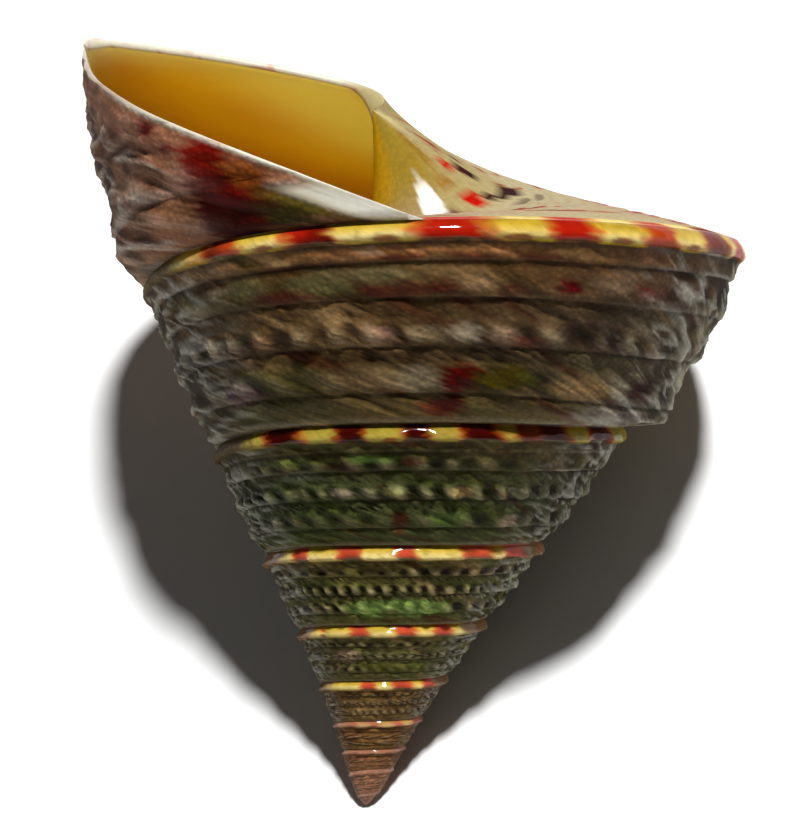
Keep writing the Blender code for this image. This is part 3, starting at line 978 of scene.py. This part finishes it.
def wrapped_grid(name, places, times, shares, paint, zones):
    """A mesh from a grid of places, with growth time and share in its UV map and paint on its corners."""
    rows, columns = places.shape[:2]
    bpy.ops.object.select_all(action="DESELECT")
    bpy.ops.mesh.primitive_grid_add(x_subdivisions=rows - 1, y_subdivisions=columns - 1, size=2.0)
    sheet = bpy.context.object
    sheet.name = name
    mesh = sheet.data
    flat = np.empty(len(mesh.vertices) * 3, np.float32)
    mesh.vertices.foreach_get("co", flat)
    flat = flat.reshape(-1, 3)
    row = np.rint((flat[:, 0] + 1.0) / 2.0 * (rows - 1)).astype(int)
    column = np.rint((flat[:, 1] + 1.0) / 2.0 * (columns - 1)).astype(int)
    posed = places[row, column] @ np.array(POSE).T * MM + np.array(APEX)
    posed = np.clip(posed, *(np.array(corner) for corner in cad_box))
    mesh.vertices.foreach_set("co", posed.astype(np.float32).ravel())
    corner = np.empty(len(mesh.loops), np.int32)
    mesh.loops.foreach_get("vertex_index", corner)
    grown = np.stack((times[row, column], shares[row, column]), axis=-1)[corner]
    layer = mesh.uv_layers[0]
    layer.name = "growth"
    layer.uv.foreach_set("vector", grown.astype(np.float32).ravel())
    shade = np.ones((len(corner), 4))
    shade[:, :3] = np.clip(paint[row, column][corner], 0.0, 1.0)
    attribute = mesh.color_attributes.new("paint", "BYTE_COLOR", "CORNER")
    attribute.data.foreach_set("color", shade.astype(np.float32).ravel())
    for material in ZONES:
        mesh.materials.append(material)
    starts = np.empty(len(mesh.polygons), np.int32)
    mesh.polygons.foreach_get("loop_start", starts)
    middles = np.mean([grown[starts + side] for side in range(4)], axis=0)
    mesh.polygons.foreach_set("material_index", face_slots(middles[:, 0], middles[:, 1], zones))
    return sheet


def side_sheets():
    last = 1.0
    for number, (first, per_turn) in enumerate(ROW_ZONES):
        count = round((last - first) * per_turn)
        times = first + np.arange(count + 1) / per_turn
        time, share = np.meshgrid(times, SIDE_SHARES, indexing="ij")
        time[:, 0] = meeting_time(times)
        at_base = times > 1.0 + KEEL_LAG - 0.5
        time[at_base, -1] = np.floor(times[at_base] * BASE_ROWS + ROUNDING) / BASE_ROWS
        level = band_place(side_turn(time, share), share)
        yield f"side_{number}", side_point(time, share), time, level, side_paint(time, share), SIDE_ZONES
        last = first


def meeting_time(times):
    """Each time at the suture, moved to a row of the turn below it."""
    met = times.copy()
    for first, per_turn in reversed(ROW_ZONES):
        below = times - 0.75 >= first - TINY
        met[below] = first + np.floor((times[below] - first) * per_turn + ROUNDING) / per_turn
    return met


def apex_sheet():
    first = ROW_ZONES[-1][0]
    time, share = np.meshgrid(np.array([first - 0.01, first]), SIDE_SHARES, indexing="ij")
    places = side_point(time, share)
    places[0] = 0.0
    return "apex", places, time, share, side_paint(time, share), SIDE_ZONES


def base_sheet():
    count = round((1.0 + KEEL_LAG) * BASE_ROWS)
    done, share = np.meshgrid(np.linspace(0.0, 1.0, count + 1), BASE_SHARES, indexing="ij")
    time = border_time(share) * (1.0 - done) + done
    return "base", base_carved(time, share), time, share + BASE_FROM, base_paint(time, share), BASE_ZONES


def lining_ring(time):
    """The lining at one growth time, from the suture over the side and the base to the pillar."""
    side = lining_side(np.full(len(SIDE_SHARES), time), SIDE_SHARES)
    shares = BASE_SHARES[1:]
    return np.concatenate((side, lining_base(np.full(len(shares), time), shares)))


def lip_sheet():
    outer = np.concatenate((side_point(1.0, SIDE_SHARES), base_carved(1.0, BASE_SHARES[1:])))
    inner = lining_ring(1.0)
    forward = unit(np.concatenate((
        side_surface(1.0 + SLOPE_STEP, SIDE_SHARES) - side_surface(1.0, SIDE_SHARES),
        base_point(1.0, BASE_SHARES[1:]) - base_point(1.0 - SLOPE_STEP, BASE_SHARES[1:]),
    )))
    width = np.linalg.norm(inner - outer, axis=-1)
    ends = hump(np.arange(len(outer)), 5.0, len(outer) - 9.0, 4.0)
    round_out = np.sin(math.pi * LIP_SHARES) ** 0.7
    bulge = (np.minimum(width, LIP_WALL) * 0.32 * ends)[:, None] * round_out
    places = (
        outer[:, None] * (1.0 - LIP_SHARES)[None, :, None]
        + inner[:, None] * LIP_SHARES[None, :, None]
        + forward[:, None] * bulge[..., None]
    )
    at_suture = SUTURE_INSET * LIP_SHARES
    at_foot = 1.0 - (1.0 - FOOT_INSET) * LIP_SHARES
    places[0] = base_carved(border_time(at_suture), at_suture)
    places[-1] = base_carved(border_time(at_foot), at_foot)
    across, ring = np.meshgrid(LIP_SHARES, np.arange(len(outer)) / len(outer), indexing="ij")
    return "lip", places.swapaxes(0, 1), ring, across + LIP_FROM, lip_paint(ring, across), LIP_ZONES


def tube_sheet():
    back = np.linspace(0.0, 1.0, TUBE_ROWS + 1) ** 1.4
    times = 1.0 - TUBE_TURNS * back
    shares = BASE_SHARES[(BASE_SHARES >= SUTURE_INSET) & (BASE_SHARES < FOOT_INSET)][::-1]
    rings = []
    for time in times:
        wall = pillar_point(np.full(len(shares), time), shares)
        rings.append(np.concatenate((lining_ring(time), wall)))
    rings.append(np.repeat(rings[-1].mean(axis=0, keepdims=True), len(rings[-1]), axis=0))
    times = np.append(times, times[-1] - 0.01)
    around = np.concatenate((SIDE_SHARES, 1.0 + BASE_SHARES[1:], 2.0 + (1.0 - shares)))
    time, share = np.meshgrid(times, around, indexing="ij")
    return "tube", np.array(rings), time, share + TUBE_FROM, tube_paint(time, share), TUBE_ZONES


def make_shell():
    grown = (*side_sheets(), apex_sheet(), base_sheet(), lip_sheet(), tube_sheet())
    sheets = [wrapped_grid(*sheet) for sheet in grown]
    for sheet in sheets:
        sheet.select_set(True)
    bpy.context.view_layer.objects.active = sheets[0]
    bpy.ops.object.join()
    shell = bpy.context.object
    shell.name = "sculpted_shell"
    bpy.ops.object.mode_set(mode="EDIT")
    bpy.ops.mesh.select_all(action="SELECT")
    bpy.ops.mesh.remove_doubles(threshold=CLOSE)
    bpy.ops.object.mode_set(mode="OBJECT")
    bpy.ops.object.shade_smooth()
    return shell


shell = make_shell()
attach(shell, "root")
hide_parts("top_shell")

# The stage

FLOOR_SIZE = 4.0
VIEW_TILT = math.radians(-5.7736)
VIEW_PITCH = math.radians(-4.1328)
VIEW_FROM = Vector((1.565, 19.427, 104.0))  # mm from the apex
LENS = 85.82
SENSOR = 36.0
NEAREST = 0.001
# The sun, then a wide dim lamp that fills in the shadows: where from, how strong, how wide in degrees.
LAMPS = (
    ("sun", Vector((0.14, 0.33, 0.934)), 4.6, 6.0),
    ("fill", Vector((-0.2, -0.8, 0.57)), 0.1, 60.0),
)
WORLD_STRENGTH = 0.03


def add_floor():
    """A sheet of matt white paper."""
    bpy.ops.object.select_all(action="DESELECT")
    bpy.ops.mesh.primitive_plane_add(size=FLOOR_SIZE)
    floor = bpy.context.object
    floor.name = "floor"
    paper = bpy.data.materials.new("white paper")
    paper.use_nodes = True
    shader = paper.node_tree.nodes["Principled BSDF"]
    shader.inputs["Base Color"].default_value = (*linear("#EDEDED"), 1.0)
    shader.inputs["Roughness"].default_value = 0.9
    floor.data.materials.append(paper)
    return floor


def add_camera():
    turn = Matrix.Rotation(VIEW_TILT, 3, "Z") @ Matrix.Rotation(VIEW_PITCH, 3, "X")
    upright = Matrix(((1.0, 0.0, 0.0), (0.0, 0.0, -1.0), (0.0, 1.0, 0.0)))
    place = turn.transposed() @ VIEW_FROM + Vector((0.0, APEX_RISE, 0.0))
    data = bpy.data.cameras.new("camera")
    data.lens = LENS
    data.sensor_width = SENSOR
    data.clip_start = NEAREST
    camera = bpy.data.objects.new("camera", data)
    bpy.context.scene.collection.objects.link(camera)
    turned = POSE @ upright @ turn.transposed()
    camera.matrix_world = Matrix.Translation(APEX + POSE @ upright @ place * MM) @ turned.to_4x4()
    bpy.context.scene.camera = camera


def add_lamp(name, source, strength, width):
    light = bpy.data.lights.new(name, "SUN")
    light.energy = strength
    light.angle = math.radians(width)
    lamp = bpy.data.objects.new(name, light)
    lamp.rotation_euler = source.to_track_quat("Z", "Y").to_euler()
    bpy.context.scene.collection.objects.link(lamp)


floor = add_floor()
add_camera()
for lamp in LAMPS:
    add_lamp(*lamp)
world = bpy.data.worlds.new("studio")
world.use_nodes = True
background = world.node_tree.nodes["Background"]
background.inputs["Color"].default_value = (*linear("#FFFFFF"), 1.0)
background.inputs["Strength"].default_value = WORLD_STRENGTH
bpy.context.scene.world = world
bpy.context.scene.view_settings.view_transform = "Standard"
